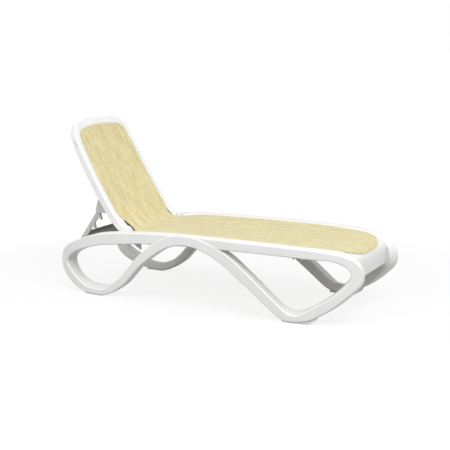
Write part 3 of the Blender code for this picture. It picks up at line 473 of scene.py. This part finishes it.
def ease(share):
    """A share from 0 to 1 with soft ends."""
    share = min(max(share, 0.0), 1.0)
    return share * share * (3 - 2 * share)


# The side frames' bend in plan
def plan_bend(x):
    """Start and radius of the bend on this side of the lounger's middle."""
    if x >= 0:
        return FRONT_BEND_START, FRONT_BEND_RADIUS
    return REAR_BEND_START, REAR_BEND_RADIUS


def plan_point(run, depth, side):
    """(x, y) at a run along the outer face and a depth in from it."""
    end = 1 if run >= 0 else -1
    start, radius = plan_bend(run)
    turn = max(abs(run) - start, 0) / radius
    straight = min(abs(run), start)
    x = end * (straight + (radius - depth) * math.sin(turn))
    y = WIDTH / 2 - radius + (radius - depth) * math.cos(turn)
    return x, side * y


def inner_half_width(x):
    """From the lounger's middle to the side frame's inner face."""
    start, radius = plan_bend(x)
    reach = max(abs(x) - start, 0)
    return WIDTH / 2 - radius + math.sqrt((radius - RIBBON_DEPTH) ** 2 - reach ** 2)


# Side frames: a loop and an arch each
RIBBON_SCALE = [HALF_RUN, RAIL_TOP, RIBBON_WIDTH]
LOOP_PATH = smooth_path(np.array(LOOP_SHARES) * RIBBON_SCALE, LOOP_STEPS)
ARCH_PATH = smooth_path(np.array(ARCH_SHARES) * RIBBON_SCALE, ARCH_STEPS)


def ribbon_rings(path, side, arch):
    """Sections of a loop or an arch, which are flush or stepped where the two cross."""
    rings = []
    hump_centre = HUMP_CENTRE_SHARE * HALF_RUN
    hump_reach = HUMP_REACH_SHARE * HALF_RUN
    for (run, height, width), (along, up) in zip(path, tangents(path)):
        near = 0.0
        if height > RAIL_TOP / 2:
            near = max(0.0, 1 - abs(run - hump_centre) / hump_reach)
        blend = min(1.0, 3 * near)
        outer = SEAM_INSET if arch else HUMP_STEP * blend
        inner = RIBBON_DEPTH - (HUMP_RELIEF * blend + SEAM_INSET if arch else 0.0)
        half = width / 2 - (SEAM_INSET if arch else 0.0)
        lift = FOOT_LIFT_SHARE * RIBBON_WIDTH * max(0.0, 1 - height / RIBBON_WIDTH)
        grown = 0.0
        if run > 0 and not arch:
            grown = ease((run / HALF_RUN - NOSE_EDGE_FROM) / (NOSE_EDGE_TO - NOSE_EDGE_FROM))
        rim = OUTER_EDGE + (NOSE_EDGE - OUTER_EDGE) * grown
        legs = (rim, OUTER_EDGE, INNER_EDGE, INNER_EDGE)
        ring = []
        for across, depth in bevelled_section(-half, half, outer, inner, legs):
            rise = lift * (depth - outer) / (inner - outer) if across > 0 else 0.0
            x, y = plan_point(run + (across + rise) * up, depth, side)
            ring.append((x, y, height - (across + rise) * along))
        rings.append(ring)
    return rings


for label, side in SIDES.items():
    loop = loft("side_loop_" + label, ribbon_rings(LOOP_PATH, side, False), WHITE)
    arch = loft("side_arch_" + label, ribbon_rings(ARCH_PATH, side, True), WHITE)
    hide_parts("side_frame_" + label)
    for piece in (loop, arch):
        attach(piece, "base")


# Seat line
SEAT_PATH = smooth_path(np.array(SEAT_SHARES) * [HALF_RUN, RAIL_TOP], SEAT_LINE_STEPS)
SEAT_TOP = SEAT_PATH[:np.argmax(SEAT_PATH[:, 0]) + 1]


def seat_height(x):
    return float(np.interp(x, SEAT_TOP[:, 0], SEAT_TOP[:, 1]))


def seat_half_width(x):
    """Half the cloth's width between its edge strips."""
    side = inner_half_width(x) - WELT - 2 * GAP
    if x <= NOSE_ROUND_START:
        narrow = BACK_HALF_WIDTH - BOSS_WIDTH - 2 * GAP
        share = max(0.0, (SEAT_REAR + HIP_TAPER - x) / HIP_TAPER)
        return side - (side - narrow) * share ** 2
    share = min((x - NOSE_ROUND_START) / (SEAT_FRONT - NOSE_ROUND_START), 1.0)
    return side * (1 - share ** NOSE_SQUARENESS) ** (1 / NOSE_SQUARENESS)


# Backrest lines
BACK_BOW = smooth_path(np.array(BACK_BOW_SHARES) * BACK_LENGTH, BACK_LINE_STEPS)


def back_point(along, front=0.0):
    """(x, z) at a length up the back, and this far before its middle line."""
    bow = float(np.interp(along, BACK_BOW[:, 0], BACK_BOW[:, 1]))
    bow -= LOW_SWELL * ease((LOW_SWELL_TO - along) / (LOW_SWELL_TO - LOW_SWELL_FROM))
    spot = np.array([HINGE.x, HINGE.z]) + along * UP_BACK + (bow + front) * OUT_FRONT
    return float(spot[0]), float(spot[1])


def back_half_width(along):
    """From the lounger's middle to the stile's outer face, with eased tapers."""
    shares = np.array(BACK_TAPER_SHARES)
    places = np.linspace(0, 1, TAPER_STEPS)
    values = np.interp(places, shares[:, 0], shares[:, 1])
    padded = np.pad(values, TAPER_WINDOW // 2, mode="edge")
    eased = np.convolve(padded, np.ones(TAPER_WINDOW) / TAPER_WINDOW, mode="valid")
    return BACK_HALF_WIDTH * float(np.interp(along / BACK_LENGTH, places, eased))


def back_line(straight=60, turn_steps=18, top_steps=24):
    """(along, across) middle line of the backrest's frame, right foot to left foot,
    and its inward normals."""
    inset = STILE_FACE / 2
    radius = BACK_CORNER_RADIUS - inset
    top = BACK_LENGTH + STILE_DEPTH / 2 - inset
    corner = top - BACK_CROWN - radius
    edge = back_half_width(corner) - inset
    centre = edge - radius
    right = [(BOSS_RADIUS / 4, inset - BACK_HALF_WIDTH)]
    for along in np.linspace(BOSS_RADIUS / 2, corner, straight):
        right.append((along, inset - back_half_width(along)))
    for i in range(1, turn_steps):
        turn = math.pi / 2 * i / (turn_steps - 1)
        across = centre + radius * math.cos(turn)
        rise = BACK_CROWN * (1 - (across / edge) ** 2)
        right.append((corner + radius * math.sin(turn) + rise, -across))
    middle = []
    for share in np.linspace(-1, 1, top_steps)[1:-1]:
        across = share * centre
        rise = BACK_CROWN * (1 - (across / edge) ** 2)
        middle.append((corner + radius + rise, across))
    pts = np.array(right + middle + [(along, -across) for along, across in right[::-1]])
    along_line = tangents(pts)
    return pts, np.stack([-along_line[:, 1], along_line[:, 0]], 1)


def cut_slots(body):
    """A stacking slot in the outer side of each stile."""
    middle = SLOT_SHARE * BACK_LENGTH
    for side in SIDES.values():
        rings = []
        outer = back_half_width(middle)
        for depth in (-SLOT_DEPTH, SLOT_DEPTH):
            ring = []
            for i in range(SLOT_SIDES):
                turn = 2 * math.pi * i / SLOT_SIDES
                end = (SLOT_LENGTH - SLOT_WIDTH) / 2 * (1 if math.sin(turn) >= 0 else -1)
                along = middle + end + SLOT_WIDTH / 2 * math.sin(turn)
                x, z = back_point(along, SLOT_WIDTH / 2 * math.cos(turn) - SLOT_BEHIND)
                ring.append((x, side * (outer + depth), z))
            rings.append(ring)
        cutter = loft("slot_cutter", rings, WHITE)
        cut = body.modifiers.new("slot", "BOOLEAN")
        cut.operation = "DIFFERENCE"
        cut.object = cutter
        body.modifiers.remove(body.modifiers["flat_faces"])
        cut_mesh = bpy.data.meshes.new_from_object(
            body.evaluated_get(bpy.context.evaluated_depsgraph_get())
        )
        body.modifiers.clear()
        body.data = cut_mesh
        bpy.data.objects.remove(cutter, do_unlink=True)
        flat_faces(body)


def stile_section(rebate):
    """The stile's outline in (inward, forward), with a ledge that the cloth's edge lies on."""
    half = STILE_FACE / 2
    deep = STILE_DEPTH / 2
    top = SLING_FRONT - CLOTH / 2 - WELT_RISE
    body = bevelled_section(-half, half, -deep, top, (FRAME_EDGE, FRAME_EDGE, 0, 0))
    legs = (FRAME_EDGE, 0, FRAME_LIP, FRAME_EDGE)
    face = bevelled_section(-half, half - rebate, -deep, deep, legs)
    quarter = len(body) // 4
    edge = half + LEDGE_OUT
    ledge = [(half, top - 2 * WELT_RISE), (edge, top - WELT_RISE), (edge, top)]
    return body[:2 * quarter] + ledge + [(half - rebate, top)] + face[2 * quarter:]


def make_backrest_frame():
    """Stiles and top bar in one moulding."""
    pts, inward = back_line()
    rings = []
    for (along, across), (in_along, in_across) in zip(pts, inward):
        ring = []
        for q, front in stile_section(REBATE * in_across ** 2):
            x, z = back_point(along + q * in_along, front)
            ring.append((x, across + q * in_across, z))
        rings.append(ring)
    body = loft("backrest_surround", rings, WHITE)
    cut_slots(body)
    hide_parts("backrest_frame")
    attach(body, "backrest")


make_backrest_frame()


def make_hinge_boss(name, side, sides=48):
    """A round boss along Y, with rounded rims, at the foot of a stile."""
    inner = side * (BACK_HALF_WIDTH - BOSS_WIDTH)
    outer = side * (BACK_HALF_WIDTH + BOSS_PROUD)
    rounding = []
    for i in range(BOSS_EDGE_STEPS + 1):
        turn = math.pi / 2 * i / BOSS_EDGE_STEPS
        rounding.append((BOSS_EDGE * (1 - math.cos(turn)), BOSS_EDGE * (1 - math.sin(turn))))
    steps = [(inner + side * deep, BOSS_RADIUS - cut) for deep, cut in rounding]
    steps += [(outer - side * deep, BOSS_RADIUS - cut) for cut, deep in rounding]
    turns = [2 * math.pi * i / sides for i in range(sides)]
    rings = []
    for y, radius in steps:
        rings.append([
            (HINGE.x - BOSS_BACK + radius * math.cos(t), y, HINGE.z + radius * math.sin(t))
            for t in turns
        ])
    boss = loft(name, rings, WHITE, smooth=35)
    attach(boss, "backrest")


for label, side in SIDES.items():
    make_hinge_boss("hinge_boss_" + label, side)


# The cloth: one sheet from the nose over the seat, up the hip and to the top bar
def cloth_line():
    """Rows of (x, z, half width, sag) from the nose to the top bar."""
    rows = []
    nose_length = SEAT_FRONT - NOSE_ROUND_START
    nose_turns = np.linspace(0.0, math.pi / 2, NOSE_STEPS)
    nose = [NOSE_ROUND_START + nose_length * math.sin(t) for t in nose_turns]
    seat = list(np.linspace(SEAT_REAR, NOSE_ROUND_START, SEAT_STEPS))[:-1] + nose
    for x in seat[::-1]:
        share = (x - SEAT_REAR) / (NOSE_REAR - SEAT_REAR)
        hang = max(0.0, 1 - (2 * min(share, 1.0) - 1) ** 4) if share < 1 else 0.0
        rows.append((x, seat_height(x), seat_half_width(x), SEAT_SAG * hang))
    wide = seat_half_width(SEAT_REAR)
    narrow = BACK_HALF_WIDTH - STILE_FACE + REBATE - WELT - 2 * GAP
    low = np.array([SEAT_REAR, seat_height(SEAT_REAR)])
    before = np.array([SEAT_REAR + HIP_LEAD, seat_height(SEAT_REAR + HIP_LEAD)])
    high = np.array(back_point(BACK_SLING_START, SLING_FRONT))
    beyond = np.array(back_point(BACK_SLING_START + HIP_LEAD, SLING_FRONT))
    pull = np.linalg.norm(high - low) * HIP_PULL_SHARE
    leave = low + (low - before) / np.linalg.norm(low - before) * pull
    meet = high + (high - beyond) / np.linalg.norm(high - beyond) * pull
    for t in np.linspace(0, 1, HIP_STEPS)[1:-1]:
        back = 1 - t
        spot = back ** 3 * low + 3 * back ** 2 * t * leave
        spot = spot + 3 * back * t ** 2 * meet + t ** 3 * high
        tuck = HIP_TUCK * math.sin(math.pi * t) ** 2
        rows.append((spot[0], spot[1], narrow + (wide - narrow) * back ** 2 - tuck, 0.0))
    pts, inward = back_line()
    line = pts + inward * (STILE_FACE / 2 - REBATE * inward[:, 1:] ** 2 + 2 * GAP + WELT)
    right = line[(line[:, 1] < 0) & (line[:, 0] > 0)]
    order = np.argsort(right[:, 0])
    right = right[order]
    top = right[-1, 0]
    ups = list(np.linspace(BACK_SLING_START, top - TOP_ROUND, BACK_STEPS))
    for i in range(1, TOP_STEPS + 1):
        ups.append(top - TOP_ROUND * (1 - math.sin(math.pi / 2 * i / TOP_STEPS)))
    for along in ups:
        half = -float(np.interp(along, right[:, 0], right[:, 1]))
        ends = 1 - (2 * (along - BACK_SLING_START) / (top - BACK_SLING_START) - 1) ** 4
        x, z = back_point(along, SLING_FRONT)
        rows.append((x, z, half, BACK_SAG * ends))
    return np.array(rows)


CLOTH_ROWS = cloth_line()


def cloth_normals():
    along = tangents(CLOTH_ROWS)
    return np.stack([along[:, 1], -along[:, 0]], 1)


def make_cloth():
    """The sheet, which carries its flat places as a UV layer, and its length."""
    line = CLOTH_ROWS
    run = np.concatenate([[0], np.cumsum(np.linalg.norm(np.diff(line[:, :2], axis=0), axis=1))])
    verts = []
    flat = []
    for (x, z, half, sag), (out_x, out_z), v in zip(line, cloth_normals(), run):
        for share in np.linspace(-1, 1, CLOTH_COLUMNS):
            eased = math.sin(share * math.pi / 2)
            free = max(0.0, 1 - (abs(eased) * half / max(half - LEDGE, GAP)) ** 2)
            verts.append((x - out_x * sag * free, eased * half, z - out_z * sag * free))
            flat.append((eased * half, v))
    faces = []
    for i in range(len(line) - 1):
        for j in range(CLOTH_COLUMNS - 1):
            a = i * CLOTH_COLUMNS + j
            faces.append((a, a + 1, a + 1 + CLOTH_COLUMNS, a + CLOTH_COLUMNS))
    cloth = make_object("sling", verts, faces, FABRIC)
    layer = cloth.data.uv_layers.new(name="flat")
    for loop in cloth.data.loops:
        layer.data[loop.index].uv = flat[loop.vertex_index]
    return cloth, run[-1]


def hip_blend(piece):
    """Bakes the piece's placement into its mesh; the hip's place on the back is worked out but
    not used.
    """
    x, z = back_point(BACK_SLING_START, SLING_FRONT)
    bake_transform(piece)


sling, sling_run = make_cloth()
solid = sling.modifiers.new("thickness", "SOLIDIFY")
solid.thickness = CLOTH
solid.offset = 0
hip_blend(sling)
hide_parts("sling_seat", "sling_hip", "sling_back")


def make_welt(step=0.005, sides=10):
    """The edge strip all round the cloth, with a rounded top."""
    right = np.array([             # a place on the edge, and the cloth's normal there
        (x, -half, z, out_x, 0, out_z)
        for (x, z, half), (out_x, out_z) in zip(CLOTH_ROWS[:, :3], cloth_normals())
    ])
    left = right[::-1] * np.array([1, -1, 1, 1, 1, 1])
    edge = np.vstack([right, left, right[:1]])
    run = np.concatenate([[0], np.cumsum(np.linalg.norm(np.diff(edge[:, :3], axis=0), axis=1))])
    wanted = np.linspace(0, run[-1], int(run[-1] / step), endpoint=False)
    even = np.stack([np.interp(wanted, run, edge[:, k]) for k in range(edge.shape[1])], 1)
    ahead = np.roll(even[:, :3], -1, axis=0) - np.roll(even[:, :3], 1, axis=0)
    rings = []
    for spot, direction in zip(even, ahead):
        up = spot[3:] / np.linalg.norm(spot[3:])
        outward = np.cross(direction, up)
        outward /= np.linalg.norm(outward)
        centre = spot[:3] + outward * WELT / 2
        ring = []
        for i in range(sides):
            turn = 2 * math.pi * i / sides
            reach = outward * math.cos(turn) * WELT / 2
            ring.append(centre + reach + up * math.sin(turn) * WELT_RISE)
        rings.append(ring)
    return loft("sling_border", rings, BORDER, closed=True)


welt = make_welt()
hip_blend(welt)
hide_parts("seat_border", "back_border")


def make_nose_cowl():
    """A bent panel between the side frames, under the cloth's front end."""
    nose = SEAT_PATH[SEAT_PATH[:, 0] > NOSE_REAR]
    line = np.vstack([[NOSE_REAR, seat_height(NOSE_REAR)], nose])
    along = tangents(line)
    normal = np.stack([-along[:, 1], along[:, 0]], 1)
    outer = line - normal * COWL_UNDER
    inner = line - normal * (COWL_UNDER + COWL_WALL)
    lip = outer[-1] - np.array([COWL_LIP, 0])
    lip_top = lip + np.array([0, COWL_WALL])
    profile = list(outer) + [lip, lip_top] + list(inner[::-1][1:])
    rings = []
    for share in np.linspace(-1, 1, COWL_STEPS):
        rings.append([
            (x, share * (inner_half_width(x) - COWL_CLEARANCE), z) for x, z in profile
        ])
    cowl = loft("front_cowl", rings, WHITE)
    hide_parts("nose_cowl")
    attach(cowl, "base")


make_nose_cowl()


# A guessed plate under the tie bar, its grey painted shade for the shaded place there
def make_tie_leaf():
    back, front, low, high = TIE_LEAF
    section = [(back, low), (front, low), (front, high), (back, high)]
    rings = [[(x, y, z) for x, z in section] for y in (-TIE_HALF_LENGTH, TIE_HALF_LENGTH)]
    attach(loft("prop_tie_shade_leaf", rings, LEAF_PAINTED_SHADE), "prop")


make_tie_leaf()


# Carried-over pieces: the frame's own meshes with softened edges and real finishes
WELD_REACH = 0.0001
SOFT_FROM = math.radians(32)   # edges that turn by less stay as they are


def dress(name, material, bevel):
    obj = NODES[name]
    obj.data.materials.clear()
    obj.data.materials.append(material)
    weld = obj.modifiers.new("weld", "WELD")
    weld.merge_threshold = WELD_REACH
    soft = obj.modifiers.new("edges", "BEVEL")
    soft.width = bevel
    soft.segments = 2
    soft.limit_method = "ANGLE"
    soft.angle_limit = SOFT_FROM


FINISH = {                  # material and edge width by the start of a node's name
    "seat_rail": (WHITE, 0.002), "crossbeam": (WHITE, 0.0012), "back_crossbar": (WHITE, 0.0015),
    "hip_gusset": (GREY, 0.001), "foot_pad": (RUBBER, 0.0015), "prop_arm": (GREY, 0.0012),
    "prop_bracket": (GREY, 0.0015), "prop_peg": (GREY, 0.0008), "prop_tie": (DARK, 0.0012),
    "prop_pivot_pin": (STEEL, 0.0005), "hinge_pin": (WHITE, 0.0005),
}
for node in sorted(NODES):
    for start, (material, bevel) in FINISH.items():
        if node.startswith(start):
            dress(node, material, bevel)


# Floor, light and camera
FLOOR_SIZE = 60.0           # half its side, so that its far edge meets the backdrop
FLOOR_BOUNCE = 0.37         # its colour for the light that it sends to the object
FLOOR_SHADE = 0.15          # and for the camera, where a shadow takes this part away
GLOW_NEAR = (1.3, 0.84)     # (distance, strength) of the white under that shadow
GLOW_FAR = (3.4, 1.0)       # and where the floor has turned into the backdrop
WORLD_LIGHT = 0.55          # the backdrop's light on the object; the camera sees it as 1


def grey(level):
    return level, level, level, 1


def make_floor():
    """A pale floor that the camera sees as white, apart from the object's shadow."""
    size = FLOOR_SIZE
    verts = [(-size, -size, 0), (size, -size, 0), (size, size, 0), (-size, size, 0)]
    n = Nodes("floor", 0.9)
    rays = n.add("ShaderNodeLightPath")
    lit = n.add("ShaderNodeBsdfDiffuse")
    lit.inputs["Color"].default_value = grey(FLOOR_BOUNCE)
    shown = n.add("ShaderNodeBsdfDiffuse")
    shown.inputs["Color"].default_value = grey(FLOOR_SHADE)
    glow = n.add("ShaderNodeEmission")
    glow.inputs["Color"].default_value = grey(1)
    away = n.add("ShaderNodeVectorMath", operation="LENGTH")
    n.join(n.place(), away.inputs[0])
    far = n.add("ShaderNodeMapRange", interpolation_type="SMOOTHSTEP")
    far.inputs["From Min"].default_value, far.inputs["To Min"].default_value = GLOW_NEAR
    far.inputs["From Max"].default_value, far.inputs["To Max"].default_value = GLOW_FAR
    n.join(away.outputs["Value"], far.inputs["Value"])
    n.join(far.outputs["Result"], glow.inputs["Strength"])
    both = n.add("ShaderNodeAddShader")
    n.join(shown.outputs[0], both.inputs[0])
    n.join(glow.outputs[0], both.inputs[1])
    seen = n.math("MAXIMUM", rays.outputs["Is Camera Ray"], rays.outputs["Is Glossy Ray"])
    seen = n.math("MAXIMUM", seen, rays.outputs["Is Transmission Ray"])
    choose = n.add("ShaderNodeMixShader")
    n.join(seen, choose.inputs[0])
    n.join(lit.outputs[0], choose.inputs[1])
    n.join(both.outputs[0], choose.inputs[2])
    out = n.tree.nodes["Material Output"]
    n.join(choose.outputs[0], out.inputs["Surface"])
    floor = make_object("floor", verts, [(0, 1, 2, 3)], n.material)


make_floor()


def make_world():
    world = bpy.data.worlds.new("studio")
    bpy.context.scene.world = world
    world.use_nodes = True
    tree = world.node_tree
    back = tree.nodes["Background"]
    back.inputs["Color"].default_value = grey(1)
    rays = tree.nodes.new("ShaderNodeLightPath")
    seen = tree.nodes.new("ShaderNodeMath")
    seen.operation = "MAXIMUM"
    tree.links.new(rays.outputs["Is Camera Ray"], seen.inputs[0])
    tree.links.new(rays.outputs["Is Glossy Ray"], seen.inputs[1])
    level = tree.nodes.new("ShaderNodeMapRange")
    level.inputs["To Min"].default_value = WORLD_LIGHT
    level.inputs["To Max"].default_value = 1.0
    tree.links.new(seen.outputs[0], level.inputs["Value"])
    tree.links.new(level.outputs["Result"], back.inputs["Strength"])


make_world()


def hang(name, data, place, aim, power):
    """A lamp at a place, turned to an aim."""
    data.energy = power
    lamp = bpy.data.objects.new(name, data)
    bpy.context.scene.collection.objects.link(lamp)
    lamp.location = place
    lamp.rotation_mode = "QUATERNION"
    lamp.rotation_quaternion = (Vector(place) - Vector(aim)).to_track_quat("Z", "Y")


def area_light(name, place, aim, size, power):
    data = bpy.data.lights.new(name, "AREA")
    data.shape = "DISK"
    data.size = size
    hang(name, data, place, aim, power)


def spot_light(name, place, aim, cone, power, blend=0.8, radius=0.4):
    data = bpy.data.lights.new(name, "SPOT")
    data.spot_size = math.radians(cone)
    data.spot_blend = blend
    data.shadow_soft_size = radius
    hang(name, data, place, aim, power)


area_light("key", (2.4, -1.5, 4.0), (0.0, 0, 0.3), 2.6, 95)
area_light("fill", (-1.3, -4.2, 2.9), (-0.1, 0, 0.3), 3.0, 88)
area_light("front", (4.6, -0.5, 1.2), (-0.2, 0, 0.45), 2.2, 25)
spot_light("accent", (3.2, -0.8, 2.2), (-0.68, 0, 0.82), 24, 60)

LENS_PIXELS = 961.7         # focal length, on a frame of 450 pixels
FRAME_PIXELS = 450
CAMERA_PLACE = (2.478, -4.604, 1.425)
CAMERA_AZIMUTH = math.radians(28.31)
CAMERA_ELEVATION = math.radians(11.16)
CAMERA_ROLL = math.radians(-0.38)


def make_camera():
    data = bpy.data.cameras.new("camera")
    data.sensor_width = 36
    data.lens = LENS_PIXELS / FRAME_PIXELS * data.sensor_width
    camera = bpy.data.objects.new("camera", data)
    bpy.context.scene.collection.objects.link(camera)
    level = math.cos(CAMERA_ELEVATION)
    back = Vector((
        math.sin(CAMERA_AZIMUTH) * level,
        -math.cos(CAMERA_AZIMUTH) * level,
        math.sin(CAMERA_ELEVATION),
    ))
    right = (-back).cross(Vector((0, 0, 1))).normalized()
    up = right.cross(-back)
    c, s = math.cos(CAMERA_ROLL), math.sin(CAMERA_ROLL)
    turned_right = c * right + s * up
    turned_up = c * up - s * right
    pose = Matrix((turned_right, turned_up, back)).transposed().to_4x4()
    pose.translation = CAMERA_PLACE
    camera.matrix_world = pose
    bpy.context.scene.camera = camera


make_camera()
bpy.context.scene.view_settings.view_transform = "Standard"
